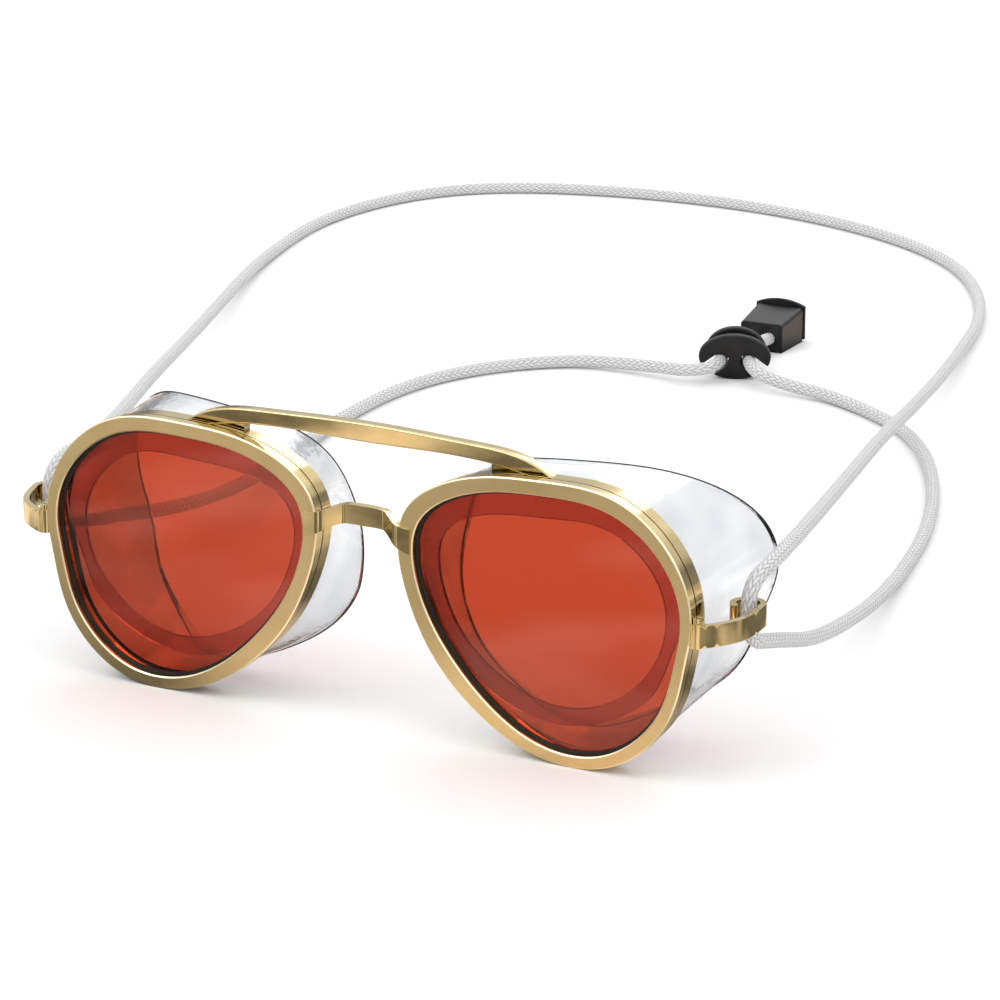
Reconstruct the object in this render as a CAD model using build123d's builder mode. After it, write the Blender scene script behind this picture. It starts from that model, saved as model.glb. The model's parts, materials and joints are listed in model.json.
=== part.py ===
from build123d import *
import math
import os

# Protective goggles: two aviator rims with tinted lenses and clear cup shields,
# standing on the bottoms of the rims, with the head cord lying behind them.
# mm, +X to the wearer's left, -Y is the front, +Z up. "left" is the wearer's left, +X.
# y = 0 is half way through the goggles' depth and z = 0 is the surface they stand on.

# --- rims -------------------------------------------------------------------
FRONT_Y = -17.0          # front faces of the rims
LENS_X = 38.5            # middle of each lens from the middle of the nose
LENS_Z = 27.3            # middle of each lens above the table
RING_T = 2.0             # front ring thickness
NECK_T = 0.5             # groove behind the front ring
BEAD_T = 0.4             # fine bead between the two grooves
SEAT_Y = 3.4             # front of the rear rim's wide band, from the front face
RIM_D = 6.4              # full depth of a rim
NECK_INSET = 1.0         # grooves, in from the outer outline
BEAD_INSET = 0.3
BAND_INSET = 0.4         # wide band, in from the outer outline
EDGE_BREAK = 0.25        # bevel on the front ring
BORE_OUT = 0.9           # rear rim bore, out from the front opening

# outer and inner outlines of a rim: radius from the lens middle every 30 degrees,
# counted from the temple side up over the top
OUTER_R = (30.4, 31.6, 29.8, 27.0, 29.4, 33.0, 27.7, 24.4, 24.0, 26.5, 29.7, 30.4)
INNER_R = (28.1, 28.9, 26.6, 24.1, 26.2, 29.5, 24.5, 20.9, 20.9, 23.9, 27.2, 27.9)

# --- lens, seal, inner flange --------------------------------------------------
LENS_T = 2.0
SEAL_T = 0.5
SEAL_W = 0.55
FLANGE_T = 1.0
# the flange's opening, and its outside, which meets the rim's bore over the top and stands clear below
FLANGE_R = (23.8, 24.2, 21.7, 18.9, 20.9, 25.1, 21.3, 18.0, 16.4, 17.0, 18.6, 20.9)
FLANGE_OUT_R = (26.6, 30.2, 28.6, 26.2, 28.4, 29.4, 25.2, 21.7, 20.3, 20.6, 21.8, 24.4)

# --- shields ------------------------------------------------------------------
SHIELD_WALL = 1.2
SHIELD_INSET = 0.9       # shield outside, in from the rim's outer outline
SHIELD_YAW = 13.0        # the face opening leans back towards the temples
SHIELD_DEPTH = 27.0      # front face to face opening, at the middle of the lens
REAR_R = (31.3, 34.4, 30.8, 28.4, 29.0, 28.6, 28.8, 28.2, 25.6, 24.6, 25.4, 29.4)
PROFILE_OUT = (-20.0, 45.0)  # the profile's box, in front of and above the shield
PROFILE_REACH = 60.0
# side profile of the face opening: depth behind the front face, height from the lens middle
SIDE_PROFILE = ((8.0, 29.0), (16.0, 26.0), (23.2, 18.0), (26.4, 3.0), (26.2, -8.0), (22.2, -18.5), (11.0, -27.5))

# --- brow bar and bridge ----------------------------------------------------------
BAR_Y0 = 3.6             # front of the brow bar behind the rim's front face
BAR_Y1 = 6.2
BAR_TOP = ((39.2, 53.9), (34.0, 56.5), (22.0, 58.0), (0.0, 58.6))
BAR_LOW = ((34.5, 53.5), (27.0, 54.7), (0.0, 55.0))
BAR_LONG = 20.0          # its edges longer than this are bevelled
FOOT_X = 30.0            # feet that carry the bar on the rims
FOOT_Z = 54.3
FOOT_W = 7.0
FOOT_H = 2.6
FOOT_INSET = 0.3         # feet are this much thinner than the bar on each face
FOOT_BITE = 0.5          # feet reach this far in past the wide band's outline
BRIDGE_T = 1.6
BRIDGE_TOP = ((11.8, 41.0), (8.6, 41.3), (5.5, 42.4), (0.0, 42.9))
BRIDGE_LOW = ((11.8, 35.9), (8.6, 37.0), (5.5, 38.6), (0.0, 39.0))
BRIDGE_PROUD = 0.35      # its feet stand this far in front of the rims
BRIDGE_SET = 2.6         # the middle of the bridge sits back by this much
BRIDGE_HALF = 4.6        # end of the set-back middle, from the middle of the nose
BRIDGE_END = 11.4
BRIDGE_FOOT = 3.0        # straight length of each foot on the rim
BRIDGE_BEND = 1.6        # bend radius of the strip

# --- endpieces ---------------------------------------------------------------------
END_Z0 = 27.8
END_H = 4.2
END_T = 1.2
KNUCKLE = (70.3, -16.1)
KNUCKLE_R = 1.4
KNUCKLE_PROUD = 0.2      # the knuckle stands this far above and below the arm
ARM = ((70.9, -16.9), (73.7, -13.6), (75.6, -9.7), (76.1, -5.5), (75.9, -1.0))
ARM_SWING = {"left": 0.0, "right": 20.0}     # each arm's turn outwards about its knuckle
EYE = (73.1, -1.0)       # axis of the cord eyelet before that turn
EYE_R = 2.2              # eyelet bore
HOOK_TURN = (0, 110, 228)     # start, middle and end of the open hook, in degrees about the eyelet
TIP_R = 0.8              # round bead on the hook's free end
SCREW_R = 0.95
SCREW_H = 0.9
DRIVE_W = 0.35           # screwdriver slot
DRIVE_D = 0.4

# --- cord, slider, end stop -------------------------------------------------------
CORD_D = 3.0
SLIDER = (-41.4, 234.0)
TAIL_YAW = 22.0          # the two tails run back through the slider at this angle
TAIL_Z = 4.5
TAIL_SPREAD = 3.2        # each tail from the middle of the slider
TAIL_FRONT = -8.0        # the straight stretch of the tails, from the slider's middle
TAIL_BEND = 13.0         # the tails close in from here to the end stop
SLIDER_W = 17.2          # front flange of the spool
SLIDER_H = 10.9
SLIDER_D = 6.5
REAR_W = 14.6            # rear flange, narrower and a little taller
REAR_H = 11.6
FLANGE_REAR = 2.0        # thickness of the rear and front flanges
FLANGE_FRONT = 2.2
CORE_IN = (1.4, 1.9)     # the spool's waist, in from the rear flange sideways and upwards
SLIDER_EDGE = 0.5        # rounding of the flange edges
FLANGE_ROUND = 36.0      # edges longer than this are the flanges' rims
SLOT_W = 3.8
SLOT_LEAN = 54.0         # the open slots slope out and down
STOP = (-45.2, 256.6)    # middle of the end stop's front face
STOP_YAW = 3.5
STOP_W = 10.9            # front of the end stop
STOP_H = 7.2
STOP_BACK_W = 12.2       # it widens towards the cap
STOP_BACK_H = 8.6
STOP_L = 12.2
STOP_EDGE = 1.0          # rounded corners of its section
STOP_HOLE_R = 1.6
STOP_HOLE_DEPTH = 3.5
STOP_SPREAD = 2.1
STOP_Z = 3.0             # height of the tails where they enter the end stop
CAP_W = 12.8
CAP_H = 10.2
CAP_LOW = 0.5
CAP_ARCH = 1.4
CAP_T = 0.9
CAP_GAP = 0.3
PLUG_W = 6.4
PLUG_H = 2.6
PLUG_L = 3.0

os.makedirs("parts", exist_ok=True)


def keep(solid, name):
    solid.label = name
    export_step(solid, "parts/" + name + ".step")
    box = solid.bounding_box()
    low = tuple(round(v, 1) for v in (box.min.X, box.min.Y, box.min.Z))
    high = tuple(round(v, 1) for v in (box.max.X, box.max.Y, box.max.Z))
    print(name, low, high, "volume", round(solid.volume, 1), "solids", len(solid.solids()))


def face_plane(depth):
    """Upright plane facing the front, depth behind the rims' front faces."""
    return Plane(origin=(0, FRONT_Y + depth, 0), x_dir=(1, 0, 0), z_dir=(0, -1, 0))


def ring_points(side, radii):
    step = 2 * math.pi / len(radii)
    points = []
    for i, radius in enumerate(radii):
        x = LENS_X + radius * math.cos(i * step)
        z = LENS_Z + radius * math.sin(i * step)
        points.append((side * x, z))
    return points


def outline(side, radii, inset=0.0):
    """Face inside the closed curve through the radii, pulled in by inset all round."""
    points = ring_points(side, radii)
    curve = Edge.make_spline([Vector(x, y) for x, y in points], periodic=True)
    moved = []
    for x, y in points:
        along = curve % curve.param_at_point(Vector(x, y))
        moved.append((x - side * inset * along.Y, y + side * inset * along.X))
    with BuildSketch() as face:
        with BuildLine():
            Spline(*moved, periodic=True)
        make_face()
    return face.sketch


def layer(side, radii, inset, depth0, depth1, mode=Mode.ADD):
    extrude(face_plane(depth1) * outline(side, radii, inset), amount=depth1 - depth0, mode=mode)


SIDES = (("left", 1), ("right", -1))
rings = []
rims = []

for word, side in SIDES:
    with BuildPart() as ring:
        layer(side, OUTER_R, 0.0, 0.0, RING_T)
        layer(side, INNER_R, 0.0, 0.0, RING_T, mode=Mode.SUBTRACT)
        front_edges = ring.faces().sort_by(Axis.Y)[0].edges()
        chamfer(front_edges, length=EDGE_BREAK)
    keep(ring.part, "front_ring_" + word)
    rings.append(ring.part)

    with BuildPart() as rim:
        layer(side, OUTER_R, NECK_INSET, RING_T, SEAT_Y)
        layer(side, OUTER_R, BEAD_INSET, RING_T + NECK_T, RING_T + NECK_T + BEAD_T)
        layer(side, OUTER_R, BAND_INSET, SEAT_Y, RIM_D)
        layer(side, INNER_R, -BORE_OUT, RING_T, RIM_D, mode=Mode.SUBTRACT)
    keep(rim.part, "rear_rim_" + word)
    rims.append(rim.part)

    with BuildPart() as lens:
        layer(side, INNER_R, -BORE_OUT, RING_T, RING_T + LENS_T)
    keep(lens.part, "lens_" + word)

    with BuildPart() as seal:
        layer(side, INNER_R, 0.0, RING_T - SEAL_T, RING_T)
        layer(side, INNER_R, SEAL_W, RING_T - SEAL_T, RING_T, mode=Mode.SUBTRACT)
    keep(seal.part, "lens_seal_" + word)

    with BuildPart() as flange:
        layer(side, INNER_R, -BORE_OUT, RING_T + LENS_T, RING_T + LENS_T + FLANGE_T)
        layer(side, FLANGE_OUT_R, 0.0, RING_T + LENS_T, RING_T + LENS_T + FLANGE_T, mode=Mode.INTERSECT)
        layer(side, FLANGE_R, 0.0, RING_T + LENS_T, RING_T + LENS_T + FLANGE_T, mode=Mode.SUBTRACT)
    keep(flange.part, "shield_flange_" + word)

    # the face opening's plane: turned about the upright through the lens middle
    lean = math.radians(SHIELD_YAW)
    rear_origin = (side * LENS_X, FRONT_Y + SHIELD_DEPTH, LENS_Z)
    rear_plane = Plane(
        origin=rear_origin,
        x_dir=(math.cos(lean), side * math.sin(lean), 0),
        z_dir=(side * math.sin(lean), -math.cos(lean), 0),
    )
    profile_plane = Plane(
        origin=(side * LENS_X, FRONT_Y, LENS_Z),
        x_dir=(-side * math.sin(lean), math.cos(lean), 0),
        z_dir=(math.cos(lean), side * math.sin(lean), 0),
    )
    with BuildPart() as shield:
        for wall_in, mode in ((0.0, Mode.ADD), (SHIELD_WALL, Mode.SUBTRACT)):
            front_points = ring_points(side, [radius - SHIELD_INSET - wall_in for radius in OUTER_R])
            with BuildSketch(face_plane(RIM_D)):
                with BuildLine():
                    Spline(*front_points, periodic=True)
                make_face()
            rear_points = ring_points(side, [radius - wall_in for radius in REAR_R])
            with BuildSketch(rear_plane):
                with BuildLine():
                    Spline(*[(x - side * LENS_X, z - LENS_Z) for x, z in rear_points], periodic=True)
                make_face()
            loft(mode=mode)
        with BuildSketch(profile_plane):
            with BuildLine():
                curve = Spline(*SIDE_PROFILE)
                front, reach = PROFILE_OUT
                Polyline(curve @ 1, (front, -reach), (front, reach), (0, reach), curve @ 0)
            make_face()
        extrude(amount=PROFILE_REACH, both=True, mode=Mode.INTERSECT)
    keep(shield.part, "side_shield_" + word)

# --- brow bar with its feet, and the bridge ---------------------------------------------
with BuildPart() as bar:
    with BuildSketch(face_plane(BAR_Y1)):
        with BuildLine():
            top_points = [(-x, z) for x, z in BAR_TOP[:-1]] + list(BAR_TOP[::-1])
            low_points = [(-x, z) for x, z in BAR_LOW[:-1]] + list(BAR_LOW[::-1])
            top = Spline(*top_points)
            low = Spline(*low_points)
            Line(top @ 0, low @ 0)
            Line(top @ 1, low @ 1)
        make_face()
    extrude(amount=BAR_Y1 - BAR_Y0)
    long_edges = bar.faces().sort_by(Axis.Y)[0].edges() + bar.faces().sort_by(Axis.Y)[-1].edges()
    chamfer(long_edges.filter_by(lambda e: e.length > BAR_LONG), length=EDGE_BREAK)
    add(rims, mode=Mode.SUBTRACT)
keep(bar.part, "brow_bar")

for word, side in SIDES:
    with BuildPart() as foot:
        with BuildSketch(face_plane(BAR_Y1 - FOOT_INSET)):
            with Locations((side * FOOT_X, FOOT_Z)):
                Rectangle(FOOT_W, FOOT_H)
        extrude(amount=BAR_Y1 - BAR_Y0 - 2 * FOOT_INSET)
        add(rims, mode=Mode.SUBTRACT)
        layer(side, OUTER_R, BAND_INSET + FOOT_BITE, 0.0, RIM_D, mode=Mode.SUBTRACT)
        add(bar.part, mode=Mode.SUBTRACT)
    keep(foot.part, "brow_foot_" + word)

foot_y = FRONT_Y + BRIDGE_T / 2 - BRIDGE_PROUD
middle_y = FRONT_Y + BRIDGE_T / 2 + BRIDGE_SET
with BuildPart() as bridge:
    with BuildSketch(Plane.XY.offset(BRIDGE_LOW[0][1])):
        with BuildLine():
            FilletPolyline(
                (-BRIDGE_END, foot_y),
                (-BRIDGE_END + BRIDGE_FOOT, foot_y),
                (-BRIDGE_HALF, middle_y),
                (BRIDGE_HALF, middle_y),
                (BRIDGE_END - BRIDGE_FOOT, foot_y),
                (BRIDGE_END, foot_y),
                radius=BRIDGE_BEND,
            )
        trace(line_width=BRIDGE_T)
    extrude(amount=BRIDGE_TOP[-1][1] - BRIDGE_LOW[0][1])
    with BuildSketch(face_plane(RIM_D)):
        with BuildLine():
            top_points = [(-x, z) for x, z in BRIDGE_TOP[:-1]] + list(BRIDGE_TOP[::-1])
            low_points = [(-x, z) for x, z in BRIDGE_LOW[:-1]] + list(BRIDGE_LOW[::-1])
            top = Spline(*top_points)
            low = Spline(*low_points)
            Line(top @ 0, low @ 0)
            Line(top @ 1, low @ 1)
        make_face()
    extrude(amount=2 * RIM_D, mode=Mode.INTERSECT)
    add(rings, mode=Mode.SUBTRACT)
keep(bridge.part, "bridge")

# --- endpieces with their cord eyelets, and the rim closing screws --------------------------


def swung(word, x, y):
    """A point of the left arm's plan, turned out by its swing and mirrored for the right."""
    angle = -math.radians(ARM_SWING[word])
    dx = x - KNUCKLE[0]
    dy = y - KNUCKLE[1]
    turned_x = KNUCKLE[0] + dx * math.cos(angle) - dy * math.sin(angle)
    turned_y = KNUCKLE[1] + dx * math.sin(angle) + dy * math.cos(angle)
    return (dict(SIDES)[word] * turned_x, turned_y)


for word, side in SIDES:
    mid_r = EYE_R + END_T / 2
    hook = []
    for degrees in HOOK_TURN:
        angle = math.radians(degrees)
        hook.append(swung(word, EYE[0] + mid_r * math.cos(angle), EYE[1] + mid_r * math.sin(angle)))
    with BuildPart() as endpiece:
        with BuildSketch(Plane.XY.offset(END_Z0)):
            with BuildLine():
                Spline(*[swung(word, x, y) for x, y in ARM])
                ThreePointArc(*hook)
            trace(line_width=END_T)
            with Locations(hook[2]):
                Circle(TIP_R)
        extrude(amount=END_H)
        with BuildSketch(Plane.XY.offset(END_Z0 - KNUCKLE_PROUD)):
            with Locations((side * KNUCKLE[0], KNUCKLE[1])):
                Circle(KNUCKLE_R)
        extrude(amount=END_H + 2 * KNUCKLE_PROUD)
        add(rings + rims, mode=Mode.SUBTRACT)
    keep(endpiece.part, "endpiece_" + word)

    seat_z = END_Z0 + END_H + KNUCKLE_PROUD
    with BuildPart() as screw:
        with BuildSketch(Plane.XY.offset(seat_z)):
            with Locations((side * KNUCKLE[0], KNUCKLE[1])):
                Circle(SCREW_R)
        extrude(amount=SCREW_H)
        with BuildSketch(Plane.XY.offset(seat_z + SCREW_H)):
            with Locations((side * KNUCKLE[0], KNUCKLE[1])):
                Rectangle(SCREW_R * 2, DRIVE_W)
        extrude(amount=-DRIVE_D, mode=Mode.SUBTRACT)
    keep(screw.part, "closing_screw_" + word)

# --- slider and end stop on the two tails of the cord ----------------------------------------
yaw = math.radians(TAIL_YAW)
BACK = Vector(-math.sin(yaw), math.cos(yaw), 0)
ACROSS = Vector(math.cos(yaw), math.sin(yaw), 0)
SLIDER_MID = Vector(SLIDER[0], SLIDER[1], 0)


def tail_point(back, across, z=TAIL_Z):
    spot = SLIDER_MID + BACK * back + ACROSS * across
    return (spot.X, spot.Y, z)


def tail_plane(back):
    return Plane(origin=tail_point(back, 0, 0), x_dir=ACROSS, z_dir=-BACK)


stop_yaw = math.radians(STOP_YAW)
STOP_BACK = Vector(-math.sin(stop_yaw), math.cos(stop_yaw), 0)
STOP_ACROSS = Vector(math.cos(stop_yaw), math.sin(stop_yaw), 0)
STOP_FRONT = Vector(STOP[0], STOP[1], 0)


def stop_point(back, across, z):
    spot = STOP_FRONT + STOP_BACK * back + STOP_ACROSS * across
    return (spot.X, spot.Y, z)


def stop_plane(back):
    """Upright plane across the end stop, measured back from its front face."""
    return Plane(origin=stop_point(back, 0, 0), x_dir=STOP_ACROSS, z_dir=-STOP_BACK)


with BuildPart() as slider:
    with BuildSketch(tail_plane(SLIDER_D / 2)):
        with Locations((0, REAR_H / 2)):
            Ellipse(REAR_W / 2, REAR_H / 2)
    extrude(amount=FLANGE_REAR)
    with BuildSketch(tail_plane(SLIDER_D / 2)):
        with Locations((0, REAR_H / 2)):
            Ellipse(REAR_W / 2 - CORE_IN[0], REAR_H / 2 - CORE_IN[1])
    extrude(amount=SLIDER_D)
    with BuildSketch(tail_plane(-SLIDER_D / 2 + FLANGE_FRONT)):
        with Locations((0, SLIDER_H / 2)):
            Ellipse(SLIDER_W / 2, SLIDER_H / 2)
    extrude(amount=FLANGE_FRONT)
    fillet(slider.edges().filter_by(lambda e: e.length > FLANGE_ROUND), radius=SLIDER_EDGE)
    for across in (-TAIL_SPREAD, TAIL_SPREAD):
        lean_out = math.copysign(SLOT_LEAN, across)
        with BuildSketch(tail_plane(SLIDER_D)):
            with Locations(Location((across, TAIL_Z), lean_out)):
                Circle(SLOT_W / 2)
                with Locations((0, -SLIDER_W / 2)):
                    Rectangle(SLOT_W, SLIDER_W)
        extrude(amount=SLIDER_D * 2, mode=Mode.SUBTRACT)
keep(slider.part, "cord_slider")

with BuildPart() as housing:
    with BuildSketch(stop_plane(STOP_L)):
        with Locations((0, (STOP_BACK_H - STOP_EDGE) / 2)):
            RectangleRounded(STOP_BACK_W, STOP_BACK_H + STOP_EDGE, STOP_EDGE)
    with BuildSketch(stop_plane(0)):
        with Locations((0, (STOP_H - STOP_EDGE) / 2)):
            RectangleRounded(STOP_W, STOP_H + STOP_EDGE, STOP_EDGE)
    loft()
    split(bisect_by=Plane.XY, keep=Keep.TOP)
    for sign in (-1, 1):
        tail_end = Vector(*stop_point(STOP_HOLE_DEPTH, sign * STOP_SPREAD, STOP_Z))
        tail_from = Vector(*tail_point(TAIL_BEND, sign * TAIL_SPREAD))
        with BuildSketch(Plane(origin=tail_end, z_dir=tail_from - tail_end)):
            Circle(STOP_HOLE_R)
        extrude(amount=2 * STOP_HOLE_DEPTH, mode=Mode.SUBTRACT)
    with BuildSketch(stop_plane(STOP_L)):
        with Locations((0, STOP_H / 2)):
            Rectangle(PLUG_W + 2 * CAP_GAP, PLUG_H + 2 * CAP_GAP)
    extrude(amount=PLUG_L + CAP_GAP, mode=Mode.SUBTRACT)
keep(housing.part, "end_stop_housing")

CAP_START = STOP_L + CAP_GAP
with BuildPart() as cap:
    with BuildSketch(stop_plane(CAP_START + CAP_T)):
        with BuildLine():
            left_side = Line((-CAP_W / 2, CAP_LOW), (-CAP_W / 2, CAP_H - CAP_ARCH))
            arch = ThreePointArc(left_side @ 1, (0, CAP_H), (CAP_W / 2, CAP_H - CAP_ARCH))
            Polyline(arch @ 1, (CAP_W / 2, CAP_LOW), left_side @ 0)
        make_face()
    extrude(amount=CAP_T)
    with BuildSketch(stop_plane(CAP_START)):
        with Locations((0, STOP_H / 2)):
            Rectangle(PLUG_W, PLUG_H)
    extrude(amount=PLUG_L)
keep(cap.part, "end_stop_cap")

# --- head cord ---------------------------------------------------------------------------------
ARC_SHARE = 0.45
LIE_Z = CORD_D / 2       # the cord's centreline where it lies on the table
EYE_LOW = 24.3           # below an eyelet
EYE_HIGH = 35.6          # above an eyelet
LEFT_EYE = swung("left", *EYE)
RIGHT_EYE = swung("right", *EYE)
ROUTE = [
    stop_point(STOP_HOLE_DEPTH, STOP_SPREAD, STOP_Z),
    tail_point(TAIL_BEND, TAIL_SPREAD),
    tail_point(TAIL_FRONT, TAIL_SPREAD),
    (-26.5, 225.2, 2.6),
    (-9.0, 224.0, LIE_Z),
    (21.0, 203.0, LIE_Z),
    (45.5, 154.0, LIE_Z),
    (58.0, 100.0, LIE_Z),
    (66.4, 47.0, 9.0),
    (72.0, 14.0, 20.0),
    (*LEFT_EYE, EYE_LOW),
    (*LEFT_EYE, EYE_HIGH),
    (73.7, 10.5, 37.6),
    (64.4, 49.0, 34.2),
    (46.6, 104.0, 24.0),
    (30.4, 158.0, 15.8),
    (16.2, 212.0, 8.0),
    (3.2, 262.0, 2.6),
    (-9.6, 315.0, LIE_Z),
    (-38.0, 359.0, LIE_Z),
    (-88.0, 383.0, LIE_Z),
    (-143.0, 384.0, LIE_Z),
    (-189.0, 366.0, LIE_Z),
    (-205.0, 323.0, LIE_Z),
    (-196.0, 270.0, LIE_Z),
    (-175.0, 214.0, 4.0),
    (-151.0, 161.0, 11.0),
    (-126.8, 110.0, 19.5),
    (-102.9, 61.0, 27.0),
    (-83.6, 22.0, 34.5),
    (RIGHT_EYE[0], RIGHT_EYE[1], EYE_HIGH + 1.0),
    (RIGHT_EYE[0], RIGHT_EYE[1], EYE_LOW),
    (-79.5, 12.0, 20.5),
    (-81.0, 55.0, 11.5),
    (-93.0, 104.0, 3.5),
    (-104.0, 150.0, LIE_Z),
    (-103.5, 194.0, LIE_Z),
    (-82.0, 223.0, LIE_Z),
    (-57.5, 224.6, 2.4),
    (-47.8, 221.4, 3.4),
    tail_point(TAIL_FRONT, -TAIL_SPREAD),
    tail_point(TAIL_BEND, -TAIL_SPREAD),
    stop_point(STOP_HOLE_DEPTH, -STOP_SPREAD, STOP_Z),
]


def corner_radii(points):
    """Each corner's arc uses ARC_SHARE of the shorter run beside it."""
    radii = []
    for before, here, after in zip(points, points[1:], points[2:]):
        run_in = Vector(*here) - Vector(*before)
        run_out = Vector(*after) - Vector(*here)
        half_turn = math.radians(run_in.get_angle(run_out)) / 2
        radii.append(ARC_SHARE * min(run_in.length, run_out.length) / math.tan(half_turn))
    return radii


radii = corner_radii(ROUTE)
for point, radius, after in zip(ROUTE[1:], radii, ROUTE[2:]):
    run = (Vector(*after) - Vector(*point)).length
    print("corner", tuple(round(v, 1) for v in point), "radius", round(radius, 1), "next run", round(run, 1))

with BuildPart() as cord:
    with BuildLine() as cord_path:
        FilletPolyline(*ROUTE, radius=radii)
    with BuildSketch(Plane(origin=cord_path.line @ 0, z_dir=cord_path.line % 0)):
        Circle(CORD_D / 2)
    sweep()
cord_length = sum(edge.length for edge in cord_path.edges())
print("cord length", round(cord_length), "volume ratio",
      round(cord.part.volume / (math.pi * CORD_D ** 2 / 4 * cord_length), 4))
keep(cord.part, "head_cord")
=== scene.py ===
import json
import math

import bmesh
import bpy
import numpy as np
from mathutils import Matrix, Vector

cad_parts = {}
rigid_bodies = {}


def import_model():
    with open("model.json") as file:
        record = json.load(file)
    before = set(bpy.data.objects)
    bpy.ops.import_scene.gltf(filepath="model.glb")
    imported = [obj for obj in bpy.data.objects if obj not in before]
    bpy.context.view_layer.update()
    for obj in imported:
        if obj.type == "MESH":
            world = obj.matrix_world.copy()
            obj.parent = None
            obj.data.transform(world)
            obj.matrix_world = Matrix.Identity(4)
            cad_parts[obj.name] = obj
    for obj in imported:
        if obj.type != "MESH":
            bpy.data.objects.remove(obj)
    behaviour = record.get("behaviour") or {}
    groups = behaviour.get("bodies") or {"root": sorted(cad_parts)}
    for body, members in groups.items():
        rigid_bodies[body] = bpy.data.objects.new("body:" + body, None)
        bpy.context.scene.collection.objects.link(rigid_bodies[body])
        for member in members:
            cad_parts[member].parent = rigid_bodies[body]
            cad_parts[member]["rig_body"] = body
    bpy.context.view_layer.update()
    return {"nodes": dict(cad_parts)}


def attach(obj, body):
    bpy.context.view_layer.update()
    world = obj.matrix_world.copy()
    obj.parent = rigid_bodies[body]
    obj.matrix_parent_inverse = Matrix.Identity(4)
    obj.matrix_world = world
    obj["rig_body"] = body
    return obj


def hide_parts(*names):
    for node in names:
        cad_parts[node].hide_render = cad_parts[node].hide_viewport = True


# Looks for the protective goggles: gold rims, orange lenses, clear cup shields, a braided
# head cord with its slider and end stop, on a pale floor in soft studio light.
# Metres, in the CAD's frame: +X to the wearer's left, -Y the front, +Z up.

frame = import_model()
NODES = frame["nodes"]
MM = 0.001
SIDES = ("left", "right")

# --- camera ---------------------------------------------------------------------
CAMERA_AZIMUTH = 28.38
CAMERA_ELEVATION = 17.60
CAMERA_ROLL = 0.13
CAMERA_DISTANCE = 0.9
CAMERA_TARGET = Vector((-5.67 * MM, 49.66 * MM, 25.46 * MM))
CAMERA_LENS = 162.15

# --- cord -----------------------------------------------------------------------
CORD_D = 3.0 * MM
# the route of part.py, in millimetres: end stop, slider, left eyelet, round the loop,
# right eyelet, slider, end stop
ROUTE = (
    (-43.32, 260.22, 3.0), (-43.3, 247.25, 4.5), (-35.44, 227.78, 4.5), (-26.5, 225.2, 2.6),
    (-9.0, 224.0, 1.5), (21.0, 203.0, 1.5), (45.5, 154.0, 1.5), (58.0, 100.0, 1.5),
    (66.4, 47.0, 9.0), (72.0, 14.0, 20.0), (73.1, -1.0, 24.3), (73.1, -1.0, 35.6),
    (73.7, 10.5, 37.6), (64.4, 49.0, 34.2), (46.6, 104.0, 24.0), (30.4, 158.0, 15.8),
    (16.2, 212.0, 8.0), (3.2, 262.0, 2.6), (-9.6, 315.0, 1.5), (-38.0, 359.0, 1.5),
    (-88.0, 383.0, 1.5), (-143.0, 384.0, 1.5), (-189.0, 366.0, 1.5), (-205.0, 323.0, 1.5),
    (-196.0, 270.0, 1.5), (-175.0, 214.0, 4.0), (-151.0, 161.0, 11.0), (-126.8, 110.0, 19.5),
    (-102.9, 61.0, 27.0), (-83.6, 22.0, 34.5), (-78.1, -2.87, 36.6), (-78.1, -2.87, 24.3),
    (-79.5, 12.0, 20.5), (-81.0, 55.0, 11.5), (-93.0, 104.0, 3.5), (-104.0, 150.0, 1.5),
    (-103.5, 194.0, 1.5), (-82.0, 223.0, 1.5), (-57.5, 224.6, 2.4), (-47.8, 221.4, 3.4),
    (-41.37, 225.38, 4.5), (-49.24, 244.85, 4.5), (-47.51, 259.97, 3.0),
)
STEP = 0.42 * MM            # spacing of the cord's rings of points
AROUND = 72                 # points round the cord
STRANDS = 12                # strands each way round the braid
BRAID_PITCH = 22.0 * MM     # length in which a strand goes once round
BRAID_RELIEF = 0.10 * MM    # depth of the braid's valleys
SEAM_OFFSET = 1e-4          # of a turn, keeps the points off the exact seams of the weave
PATH_EVERY = 5              # rings from one point of the cord's returned path to the next

# --- meshes -----------------------------------------------------------------------
WELD = 0.002 * MM           # corners nearer than this are one corner
TINY = 0.001 * MM           # edges shorter than this are dropped
COPLANAR = math.radians(0.4)
SMOOTH_BELOW = math.radians(21)
BEVEL_SEGMENTS = 2
GLASS_GAP = 0.03 * MM       # draws clear faces in, clear of the glass that touches them
FREE_EDGE_ABOVE = math.radians(16)
FREE_EDGE_BEHIND = -9.9 * MM
FREE_EDGE_CLOSES = 3 * MM
BEAD_RADIUS = 0.17 * MM
FLOOR_HALF = 12.0


# --- node helpers ------------------------------------------------------------------
def new_material(name):
    mat = bpy.data.materials.new(name)
    mat.use_nodes = True
    tree = mat.node_tree
    tree.nodes.clear()
    out = tree.nodes.new("ShaderNodeOutputMaterial")
    return mat, tree, out


def add(tree, kind, **values):
    """A node with its settings; a socket's value goes under its name, with _ for a space."""
    node = tree.nodes.new(kind)
    for key, value in values.items():
        if key in node.bl_rna.properties:
            setattr(node, key, value)
        else:
            node.inputs[key.replace("_", " ")].default_value = value
    return node


def math_node(tree, operation, a, b=None, c=None):
    node = tree.nodes.new("ShaderNodeMath")
    node.operation = operation
    for socket, value in zip(node.inputs, (a, b, c)):
        if value is None:
            continue
        if isinstance(value, (int, float)):
            socket.default_value = value
        else:
            tree.links.new(value, socket)
    return node.outputs[0]


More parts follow.
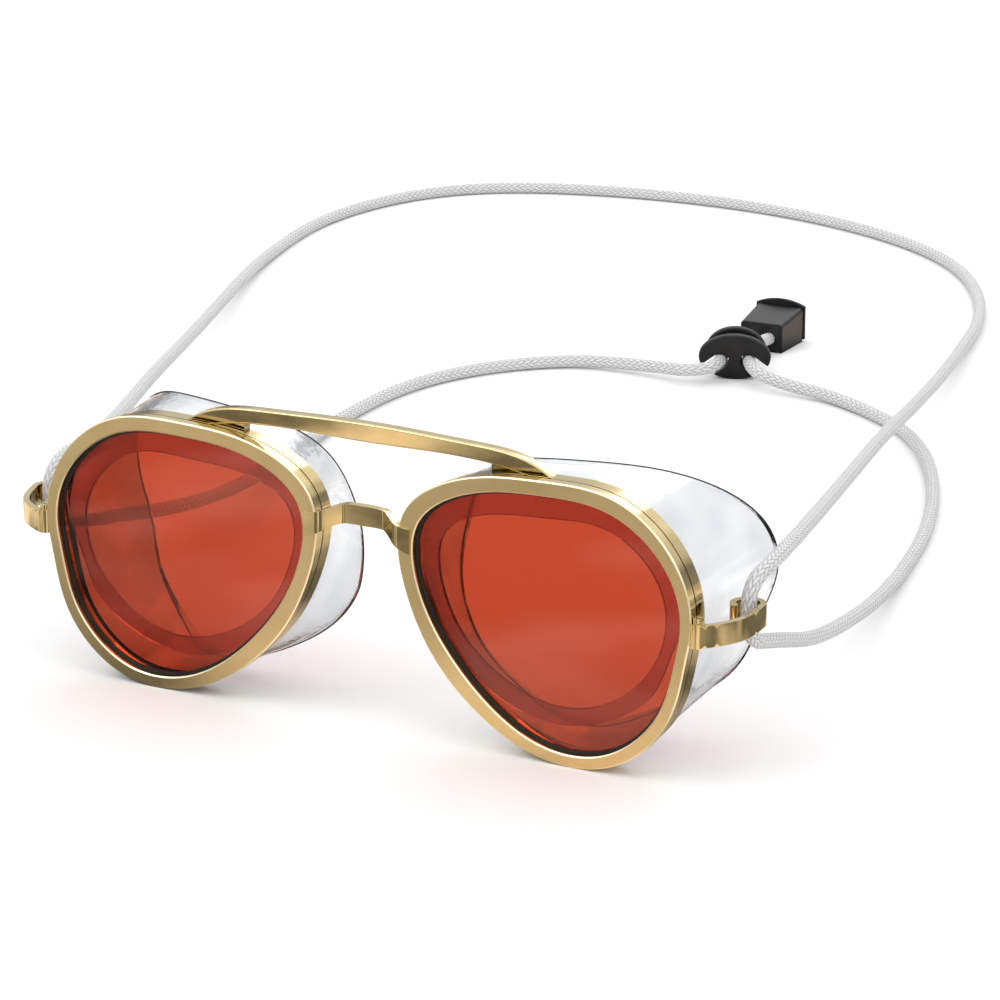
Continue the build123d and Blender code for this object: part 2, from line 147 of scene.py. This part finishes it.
def ramp(tree, source, stops):
    node = tree.nodes.new("ShaderNodeValToRGB")
    elements = node.color_ramp.elements
    while len(elements) < len(stops):
        elements.new(0.5)
    for element, (place, colour) in zip(elements, stops):
        element.position = place
        element.color = (*colour, 1)
    tree.links.new(source, node.inputs[0])
    return node.outputs[0]


def object_noise(tree, scale, detail=3.0, stretch=(1, 1, 1)):
    coords = tree.nodes.new("ShaderNodeTexCoord")
    mapping = add(tree, "ShaderNodeMapping", Scale=stretch)
    tree.links.new(coords.outputs["Object"], mapping.inputs["Vector"])
    noise = add(tree, "ShaderNodeTexNoise", Scale=scale, Detail=detail)
    tree.links.new(mapping.outputs[0], noise.inputs["Vector"])
    return noise.outputs["Fac"]


def bump(tree, height, strength, distance):
    node = add(tree, "ShaderNodeBump", Strength=strength, Distance=distance)
    tree.links.new(height, node.inputs["Height"])
    return node.outputs[0]


# --- materials -----------------------------------------------------------------------
def satin_gold():
    """Flat fronts blasted to a fine satin, and every other face polished; the bevels part way to the
    front get a painted highlight in lighter gold.
    """
    mat, tree, out = new_material("satin_gold")
    shader = add(tree, "ShaderNodeBsdfPrincipled", Metallic=1.0)
    coords = tree.nodes.new("ShaderNodeTexCoord")
    split = tree.nodes.new("ShaderNodeSeparateXYZ")
    tree.links.new(coords.outputs["Normal"], split.inputs[0])
    flat = math_node(tree, "MULTIPLY", split.outputs["Y"], -1.0)
    satin = ramp(tree, flat, ((0.965, (0, 0, 0)), (0.995, (1, 1, 1))))
    grain = object_noise(tree, 5200, 4)
    cloud = object_noise(tree, 130, 3)
    tone = ramp(tree, cloud, ((0.3, (0.70, 0.57, 0.29)), (0.7, (0.77, 0.635, 0.35))))
    # painted highlight: faces turned part way to the front, the bevels, get a lighter gold colour and
    # more roughness
    edges = ramp(tree, flat, (
        (0.50, (0, 0, 0)), (0.62, (1, 1, 1)), (0.93, (1, 1, 1)), (0.985, (0, 0, 0))))
    mix = add(tree, "ShaderNodeMix", data_type="RGBA")
    tree.links.new(edges, mix.inputs["Factor"])
    tree.links.new(tone, mix.inputs[6])
    mix.inputs[7].default_value = (1.0, 0.90, 0.63, 1)
    tree.links.new(mix.outputs[2], shader.inputs["Base Color"])
    rough = math_node(tree, "MULTIPLY_ADD", edges, 0.30, 0.08)
    rough = math_node(tree, "MULTIPLY_ADD", satin, 0.26, rough)
    rough = math_node(tree, "MULTIPLY_ADD", grain, 0.06, rough)
    tree.links.new(rough, shader.inputs["Roughness"])
    relief = math_node(tree, "MULTIPLY", grain, satin)
    tree.links.new(bump(tree, relief, 0.25, 0.03 * MM), shader.inputs["Normal"])
    tree.links.new(shader.outputs[0], out.inputs["Surface"])
    return mat


def polished_gold(name, dark, light, roughness):
    """Plated and polished, with faint smears and hairline drawing marks."""
    mat, tree, out = new_material(name)
    shader = add(tree, "ShaderNodeBsdfPrincipled", Metallic=1.0)
    smear = object_noise(tree, 220, 4, (1, 1, 2.5))
    fine = object_noise(tree, 3500, 3)
    tone = ramp(tree, smear, ((0.3, dark), (0.7, light)))
    tree.links.new(tone, shader.inputs["Base Color"])
    rough = math_node(tree, "MULTIPLY_ADD", smear, 0.07, roughness)
    tree.links.new(rough, shader.inputs["Roughness"])
    tree.links.new(bump(tree, fine, 0.06, 0.02 * MM), shader.inputs["Normal"])
    tree.links.new(shader.outputs[0], out.inputs["Surface"])
    return mat


def clear_plastic(name, tint, shade, roughness, ior, marks=0.0, cloud=None):
    """Clear moulded plastic. Shadow rays pass straight through it, tinted, as light does."""
    mat, tree, out = new_material(name)
    shader = add(tree, "ShaderNodeBsdfPrincipled", Roughness=roughness, IOR=ior)
    shader.inputs["Transmission Weight"].default_value = 1.0
    shader.inputs["Base Color"].default_value = (*tint, 1)
    if cloud:
        patches = object_noise(tree, cloud[0], 2)
        tone = ramp(tree, patches, ((0.35, tint), (0.7, cloud[1])))
        tree.links.new(tone, shader.inputs["Base Color"])
    if marks:
        flow = object_noise(tree, 60, 2, (1, 1, 1.6))
        tree.links.new(bump(tree, flow, marks, 0.4 * MM), shader.inputs["Normal"])
    through = add(tree, "ShaderNodeBsdfTransparent", Color=(*shade, 1))
    path = tree.nodes.new("ShaderNodeLightPath")
    mix = tree.nodes.new("ShaderNodeMixShader")
    tree.links.new(path.outputs["Is Shadow Ray"], mix.inputs[0])
    tree.links.new(shader.outputs[0], mix.inputs[1])
    tree.links.new(through.outputs[0], mix.inputs[2])
    tree.links.new(mix.outputs[0], out.inputs["Surface"])
    return mat


def moulded(name, colour, roughness, grain_scale, grain):
    """Opaque moulded plastic or rubber with a fine spark-eroded grain and rubbed patches."""
    mat, tree, out = new_material(name)
    shader = add(tree, "ShaderNodeBsdfPrincipled", IOR=1.4)
    worn = object_noise(tree, 300, 4)
    fine = object_noise(tree, grain_scale, 4)
    light = tuple(c * 1.35 + 0.004 for c in colour)
    tree.links.new(ramp(tree, worn, ((0.35, colour), (0.75, light))), shader.inputs["Base Color"])
    rough = math_node(tree, "MULTIPLY_ADD", worn, 0.14, roughness - 0.07)
    tree.links.new(rough, shader.inputs["Roughness"])
    tree.links.new(bump(tree, fine, grain, 0.03 * MM), shader.inputs["Normal"])
    tree.links.new(shader.outputs[0], out.inputs["Surface"])
    return mat


def braid_weave(tree):
    """The braid's height, 0 in a valley to 1 on a strand, and the place across the strand."""
    coords = add(tree, "ShaderNodeUVMap", uv_map="along_round")
    split = tree.nodes.new("ShaderNodeSeparateXYZ")
    tree.links.new(coords.outputs[0], split.inputs[0])
    turns, angle = split.outputs["X"], split.outputs["Y"]
    a = math_node(tree, "MULTIPLY", math_node(tree, "ADD", angle, turns), STRANDS)
    b = math_node(tree, "MULTIPLY", math_node(tree, "SUBTRACT", angle, turns), STRANDS)
    i, j = math_node(tree, "FLOOR", a), math_node(tree, "FLOOR", b)
    fa, fb = math_node(tree, "SUBTRACT", a, i), math_node(tree, "SUBTRACT", b, j)
    k = math_node(tree, "FLOORED_MODULO", math_node(tree, "ADD", i, j), 4.0)
    b_over = math_node(tree, "GREATER_THAN", k, 1.5)

    def pick(first, second):
        gap = math_node(tree, "SUBTRACT", second, first)
        return math_node(tree, "MULTIPLY_ADD", gap, b_over, first)

    across = pick(fa, fb)
    start = pick(k, math_node(tree, "SUBTRACT", k, 2.0))
    along = math_node(tree, "MULTIPLY", math_node(tree, "ADD", pick(fb, fa), start), 0.5)
    hump = math_node(tree, "SINE", math_node(tree, "MULTIPLY", across, math.pi))
    float_up = math_node(tree, "SINE", math_node(tree, "MULTIPLY", along, math.pi))
    hump = math_node(tree, "POWER", hump, 0.6)
    float_up = math_node(tree, "POWER", float_up, 0.35)
    return math_node(tree, "MULTIPLY", hump, float_up), across


def cord_braid():
    """White polyester braid: bright yarn, with painted shade in the gaps between the strands and grey
    painted shade lines between the filaments along each strand.
    """
    mat, tree, out = new_material("cord_braid")
    shader = add(tree, "ShaderNodeBsdfPrincipled", Roughness=0.62, IOR=1.5)
    shader.inputs["Sheen Weight"].default_value = 0.35
    shader.inputs["Sheen Roughness"].default_value = 0.4
    height, across = braid_weave(tree)
    filament = math_node(tree, "SINE", math_node(tree, "MULTIPLY", across, 4 * 2 * math.pi))
    filament = math_node(tree, "MULTIPLY_ADD", filament, 0.5, 0.5)
    fuzz = object_noise(tree, 2600, 3)
    # painted shade: darker colour in the braid's valleys and between the filaments; the fuzz noise is
    # the yarn's own random tone
    shade = math_node(tree, "MULTIPLY_ADD", filament, 0.46, math_node(tree, "MULTIPLY", height, 0.54))
    shade = math_node(tree, "MULTIPLY_ADD", math_node(tree, "SUBTRACT", fuzz, 0.5), 0.4, shade)
    tone = ramp(tree, shade, (
        (0.08, (0.14, 0.14, 0.15)), (0.42, (0.46, 0.46, 0.47)), (0.72, (0.82, 0.82, 0.82))))
    tree.links.new(tone, shader.inputs["Base Color"])
    relief = math_node(tree, "MULTIPLY_ADD", filament, 0.35, height)
    tree.links.new(bump(tree, relief, 0.6, 0.12 * MM), shader.inputs["Normal"])
    tree.links.new(shader.outputs[0], out.inputs["Surface"])
    return mat


# --- pieces --------------------------------------------------------------------------------
def paint(obj, *materials):
    obj.data.materials.clear()
    for mat in materials:
        obj.data.materials.append(mat)


def body_of_node(node):
    return NODES[node]["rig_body"]


def rounded_copy(node, name, materials, width, angle, edge_material=-1, shrink=0.0):
    """A copy of a CAD node with its sharp edges rounded and its faces drawn in, standing for it."""
    mesh = bpy.data.meshes.new(name)
    work = bmesh.new()
    work.from_mesh(NODES[node].data)
    bmesh.ops.remove_doubles(work, verts=work.verts, dist=WELD)
    bmesh.ops.dissolve_degenerate(work, dist=TINY, edges=work.edges)
    bmesh.ops.dissolve_limit(
        work, angle_limit=COPLANAR, verts=work.verts, edges=work.edges, delimit={"NORMAL"})
    limit = math.radians(angle)
    sharp = [e for e in work.edges if len(e.link_faces) == 2 and e.calc_face_angle(0) > limit]
    bmesh.ops.bevel(
        work, geom=sharp, offset=width, offset_type="OFFSET", segments=BEVEL_SEGMENTS, profile=0.5,
        affect="EDGES", clamp_overlap=True, material=edge_material, harden_normals=False)
    bmesh.ops.remove_doubles(work, verts=work.verts, dist=TINY)
    if shrink:
        work.normal_update()
        for vert, inward in [(v, -v.normal * shrink) for v in work.verts]:
            vert.co += inward
    work.to_mesh(mesh)
    work.free()
    mesh.shade_smooth()
    mesh.set_sharp_from_angle(angle=SMOOTH_BELOW)
    obj = bpy.data.objects.new(name, mesh)
    bpy.context.scene.collection.objects.link(obj)
    paint(obj, *materials)
    smooth = obj.modifiers.new("weighted normals", "WEIGHTED_NORMAL")
    smooth.keep_sharp = True
    smooth.weight = 100
    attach(obj, body_of_node(node))
    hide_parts(node)
    return obj


def free_edge(node):
    """Ordered points of a node's longest sharp-edged loop behind the rims."""
    work = bmesh.new()
    work.from_mesh(NODES[node].data)
    bmesh.ops.remove_doubles(work, verts=work.verts, dist=WELD)
    place = NODES[node].matrix_world
    sharp = [e for e in work.edges
             if len(e.link_faces) == 2 and e.calc_face_angle(0) > FREE_EDGE_ABOVE]
    sharp = [e for e in sharp if min((place @ v.co).y for v in e.verts) > FREE_EDGE_BEHIND]
    links = {}
    for edge in sharp:
        one, two = (v.index for v in edge.verts)
        links.setdefault(one, []).append(two)
        links.setdefault(two, []).append(one)
    spots = [place @ v.co for v in work.verts]
    work.free()
    loops = []
    unseen = set(links)
    while unseen:
        ends = [n for n in unseen if len(links[n]) == 1]
        here = min(ends or unseen)
        chain = []
        while here is not None:
            chain.append(here)
            unseen.discard(here)
            here = next((n for n in links[here] if n in unseen), None)
        loops.append([spots[n] for n in chain])
    return max(loops, key=lambda loop: sum((b - a).length for a, b in zip(loop, loop[1:])))


def shade_line_bead(node, name, mat):
    """A fine black tube along a clear shield's outer free edge, a painted shade line for the dark
    outline there.
    """
    loop = free_edge(node)
    curve = bpy.data.curves.new(name, "CURVE")
    curve.dimensions = "3D"
    curve.bevel_depth = BEAD_RADIUS
    curve.bevel_resolution = 2
    spline = curve.splines.new("POLY")
    spline.points.add(len(loop) - 1)
    for point, spot in zip(spline.points, loop):
        point.co = (*spot, 1)
    spline.use_cyclic_u = (loop[0] - loop[-1]).length < FREE_EDGE_CLOSES
    source = bpy.data.objects.new(name + "_path", curve)
    mesh = bpy.data.meshes.new_from_object(source)
    bpy.data.objects.remove(source)
    obj = bpy.data.objects.new(name, mesh)
    bpy.context.scene.collection.objects.link(obj)
    mesh.shade_smooth()
    paint(obj, mat)
    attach(obj, body_of_node(node))
    return obj


def cord_centreline():
    """Evenly spaced points along the NURBS curve that follows the route."""
    curve = bpy.data.curves.new("cord_route", "CURVE")
    curve.dimensions = "3D"
    curve.resolution_u = 24
    spline = curve.splines.new("NURBS")
    spline.points.add(len(ROUTE) - 1)
    for point, spot in zip(spline.points, ROUTE):
        point.co = (*(Vector(spot) * MM), 1)
    spline.order_u = 3
    spline.use_endpoint_u = True
    obj = bpy.data.objects.new("cord_route", curve)
    mesh = bpy.data.meshes.new_from_object(obj)
    line = np.array([v.co for v in mesh.vertices], float)
    bpy.data.objects.remove(obj)
    bpy.data.meshes.remove(mesh)
    walked = np.concatenate(([0], np.cumsum(np.linalg.norm(np.diff(line, axis=0), axis=1))))
    even = np.linspace(0, walked[-1], int(walked[-1] / STEP) + 1)
    return np.stack([np.interp(even, walked, line[:, k]) for k in range(3)], axis=1), even


def tube_frames(line):
    """Two directions across the line at each point, carried along without twist."""
    tangent = np.gradient(line, axis=0)
    tangent /= np.linalg.norm(tangent, axis=1)[:, None]
    side = np.zeros_like(line)
    start = np.cross(tangent[0], (0, 0, 1))
    side[0] = start / np.linalg.norm(start)
    for n in range(1, len(line)):
        across = side[n - 1] - tangent[n] * np.dot(side[n - 1], tangent[n])
        side[n] = across / np.linalg.norm(across)
    return side, np.cross(tangent, side)


def braid_height(turns, angle):
    """The same weave as braid_weave: 2 over 2 under, STRANDS each way."""
    a, b = (angle + turns) * STRANDS, (angle - turns) * STRANDS
    i, j = np.floor(a), np.floor(b)
    fa, fb = a - i, b - j
    k = np.mod(i + j, 4)
    b_over = k > 1.5
    across = np.where(b_over, fb, fa)
    along = np.where(b_over, k - 2 + fa, k + fb) / 2
    return np.sin(math.pi * across) ** 0.6 * np.sin(math.pi * along) ** 0.35


def build_cord(mat):
    line, walked = cord_centreline()
    side, up = tube_frames(line)
    rings = len(line)
    angle = np.arange(AROUND) / AROUND
    turns = walked / BRAID_PITCH
    height = braid_height(turns[:, None], angle[None, :] + SEAM_OFFSET)
    radius = CORD_D / 2 - BRAID_RELIEF * (1 - height)
    swing = 2 * math.pi * angle
    points = line[:, None, :] + radius[..., None] * (
        np.cos(swing)[None, :, None] * side[:, None, :]
        + np.sin(swing)[None, :, None] * up[:, None, :])
    ring = np.arange(rings - 1)[:, None] * AROUND
    here = np.arange(AROUND)[None, :]
    after = (here + 1) % AROUND
    quads = np.stack(
        [ring + here, ring + AROUND + here, ring + AROUND + after, ring + after], axis=-1).reshape(-1, 4)
    mesh = bpy.data.meshes.new("braided_cord")
    caps = [list(range(AROUND)), list(range((rings - 1) * AROUND, rings * AROUND))[::-1]]
    mesh.from_pydata(points.reshape(-1, 3), [], quads.tolist() + caps)
    uv = mesh.uv_layers.new(name="along_round")
    low = np.broadcast_to(angle[None, :], (rings - 1, AROUND))
    high = low + 1 / AROUND
    first = np.broadcast_to(turns[:-1, None], low.shape)
    last = np.broadcast_to(turns[1:, None], low.shape)
    corners = np.stack([first, low, last, low, last, high, first, high], axis=-1).reshape(-1)
    flat = np.zeros(len(mesh.loops) * 2)
    flat[: len(corners)] = corners
    uv.data.foreach_set("uv", flat)
    mesh.shade_smooth()
    obj = bpy.data.objects.new("braided_cord", mesh)
    bpy.context.scene.collection.objects.link(obj)
    paint(obj, mat)
    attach(obj, body_of_node("head_cord"))
    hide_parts("head_cord")
    return obj, line[::PATH_EVERY]


# --- dressing the object ------------------------------------------------------------------------
gold_front = satin_gold()
gold = polished_gold("polished_gold", (0.63, 0.50, 0.255), (0.74, 0.60, 0.32), 0.04)
# painted highlight: a near-white gold on the rounded edges of the brow bar and bridge
gold_edge_painted_highlight = polished_gold("gold_edge_painted_highlight", (0.96, 0.85, 0.58), (1.0, 0.90, 0.64), 0.26)
orange = clear_plastic("orange_lens", (0.48, 0.055, 0.02), (0.66, 0.26, 0.18), 0.0, 1.5)
flange = clear_plastic("flange", (0.66, 0.50, 0.62), (0.85, 0.82, 0.85), 0.12, 1.45, marks=0.1)
clear = clear_plastic(
    "clear_shield", (0.60, 0.635, 0.665), (0.90, 0.905, 0.91), 0.0, 1.45, marks=0.4,
    cloud=(50, (0.87, 0.89, 0.905)))
# painted shade: the shields' rounded edges get a dark grey tint for the dark line seen along a clear
# edge
painted_shade_edge_plastic = clear_plastic("shield_edge_painted_shade", (0.16, 0.17, 0.18), (0.5, 0.5, 0.5), 0.15, 1.45)
# painted shade: black for the bead that draws the shields' dark outline
painted_outline_shade = moulded("shield_outline_painted_shade", (0.012, 0.013, 0.014), 0.3, 3000, 0.1)
seal = moulded("black_seal", (0.012, 0.012, 0.012), 0.5, 3000, 0.2)
black = moulded("black_plastic", (0.011, 0.011, 0.012), 0.36, 4200, 0.3)
braid = cord_braid()

for word in SIDES:
    paint(NODES["front_ring_" + word], gold_front)
    paint(NODES["rear_rim_" + word], gold)
    rounded_copy("lens_" + word, "tinted_lens_" + word, [orange], 0.1 * MM, 40,
                 shrink=GLASS_GAP)
    paint(NODES["lens_seal_" + word], seal)
    rounded_copy("shield_flange_" + word, "inner_flange_" + word, [flange],
                 0.12 * MM, 40, shrink=GLASS_GAP)
    paint(NODES["closing_screw_" + word], gold)
    paint(NODES["brow_foot_" + word], gold)
    rounded_copy("endpiece_" + word, "end_arm_" + word, [gold], 0.07 * MM, 35)
    rounded_copy("side_shield_" + word, "cup_shield_" + word, [clear, painted_shade_edge_plastic],
                 0.22 * MM, 40, edge_material=1)
    shade_line_bead("side_shield_" + word, "cup_edge_shade_line_" + word, painted_outline_shade)
rounded_copy("brow_bar", "brow_bar_rounded", [gold, gold_edge_painted_highlight], 0.12 * MM, 30,
             edge_material=1)
rounded_copy("bridge", "bridge_rounded", [gold, gold_edge_painted_highlight], 0.18 * MM, 35,
             edge_material=1)
rounded_copy("cord_slider", "cord_lock", [black], 0.15 * MM, 38)
rounded_copy("end_stop_housing", "stop_box", [black], 0.2 * MM, 38)
rounded_copy("end_stop_cap", "stop_lid", [black], 0.2 * MM, 38)

cord, cord_path = build_cord(braid)


# --- studio ------------------------------------------------------------------------------------------
def build_floor():
    """A pale floor, seen darker by mirrored rays, as the darker room round a light table would be."""
    mat, tree, out = new_material("floor")
    shader = add(tree, "ShaderNodeBsdfPrincipled", Roughness=0.9)
    cloud = object_noise(tree, 3, 2)
    tone = ramp(tree, cloud, ((0, (0.90, 0.90, 0.90)), (1, (0.93, 0.93, 0.93))))
    tree.links.new(tone, shader.inputs["Base Color"])
    dark = tree.nodes.new("ShaderNodeBsdfDiffuse")
    # painted reflection: mirrored rays see dark, grey and warm pinkish patches here in place of the pale
    # floor
    patches = object_noise(tree, 13, 2)
    tone = ramp(tree, patches, (
        (0.42, (0.16, 0.15, 0.13)), (0.50, (0.50, 0.46, 0.40)), (0.57, (1.0, 0.84, 0.70))))
    tree.links.new(tone, dark.inputs["Color"])
    path = tree.nodes.new("ShaderNodeLightPath")
    mirrored = math_node(
        tree, "SUBTRACT", path.outputs["Is Glossy Ray"], path.outputs["Is Transmission Ray"])
    mix = tree.nodes.new("ShaderNodeMixShader")
    tree.links.new(mirrored, mix.inputs[0])
    tree.links.new(shader.outputs[0], mix.inputs[1])
    tree.links.new(dark.outputs[0], mix.inputs[2])
    tree.links.new(mix.outputs[0], out.inputs["Surface"])
    mesh = bpy.data.meshes.new("floor")
    corners = [(x * FLOOR_HALF, y * FLOOR_HALF, 0) for x, y in ((-1, -1), (1, -1), (1, 1), (-1, 1))]
    mesh.from_pydata(corners, [], [(0, 1, 2, 3)])
    floor = bpy.data.objects.new("floor", mesh)
    bpy.context.scene.collection.objects.link(floor)
    paint(floor, mat)


def softbox(name, place, aim, size, power):
    light = bpy.data.lights.new(name, "AREA")
    light.shape = "RECTANGLE"
    light.size, light.size_y = size
    light.energy = power
    obj = bpy.data.objects.new(name, light)
    bpy.context.scene.collection.objects.link(obj)
    obj.location = place
    obj.rotation_euler = (Vector(aim) - Vector(place)).to_track_quat("-Z", "Y").to_euler()


def build_world():
    """A white room, bright overhead and greyer towards the horizon, for the metal to reflect."""
    world = bpy.data.worlds.new("studio")
    bpy.context.scene.world = world
    world.use_nodes = True
    tree = world.node_tree
    tree.nodes.clear()
    out = tree.nodes.new("ShaderNodeOutputWorld")
    back = tree.nodes.new("ShaderNodeBackground")
    coords = tree.nodes.new("ShaderNodeTexCoord")
    split = tree.nodes.new("ShaderNodeSeparateXYZ")
    tree.links.new(coords.outputs["Generated"], split.inputs[0])
    tone = ramp(tree, split.outputs["Z"], (
        (0.0, (0.36, 0.36, 0.36)), (0.16, (0.26, 0.26, 0.26)), (0.25, (0.74, 0.74, 0.74)),
        (0.36, (0.80, 0.79, 0.78)), (0.44, (1.12, 1.12, 1.12)), (1.0, (1.20, 1.20, 1.20))))
    tree.links.new(tone, back.inputs["Color"])
    tree.links.new(back.outputs[0], out.inputs["Surface"])


def build_camera():
    azimuth, elevation = math.radians(CAMERA_AZIMUTH), math.radians(CAMERA_ELEVATION)
    roll = math.radians(CAMERA_ROLL)
    back = Vector((
        math.sin(azimuth) * math.cos(elevation), -math.cos(azimuth) * math.cos(elevation),
        math.sin(elevation)))
    level = Vector((math.cos(azimuth), math.sin(azimuth), 0))
    upright = back.cross(level)
    right = level * math.cos(roll) + upright * math.sin(roll)
    up = back.cross(right)
    data = bpy.data.cameras.new("camera")
    data.lens = CAMERA_LENS
    data.sensor_width = 36
    camera = bpy.data.objects.new("camera", data)
    bpy.context.scene.collection.objects.link(camera)
    turn = Matrix((right, up, back)).transposed().to_4x4()
    camera.matrix_world = Matrix.Translation(CAMERA_TARGET + back * CAMERA_DISTANCE) @ turn
    bpy.context.scene.camera = camera


build_floor()
build_world()
softbox("key", (-0.5, -0.6, 0.9), (0, 0, 0.03), (0.7, 0.5), 2.4)
softbox("fill", (0.8, -0.3, 0.6), (0, 0, 0.03), (0.5, 0.5), 1.0)
softbox("rear", (-0.2, 0.9, 0.8), (0, 0.1, 0.03), (0.8, 0.4), 1.8)
build_camera()
bpy.context.scene.view_settings.view_transform = "Standard"
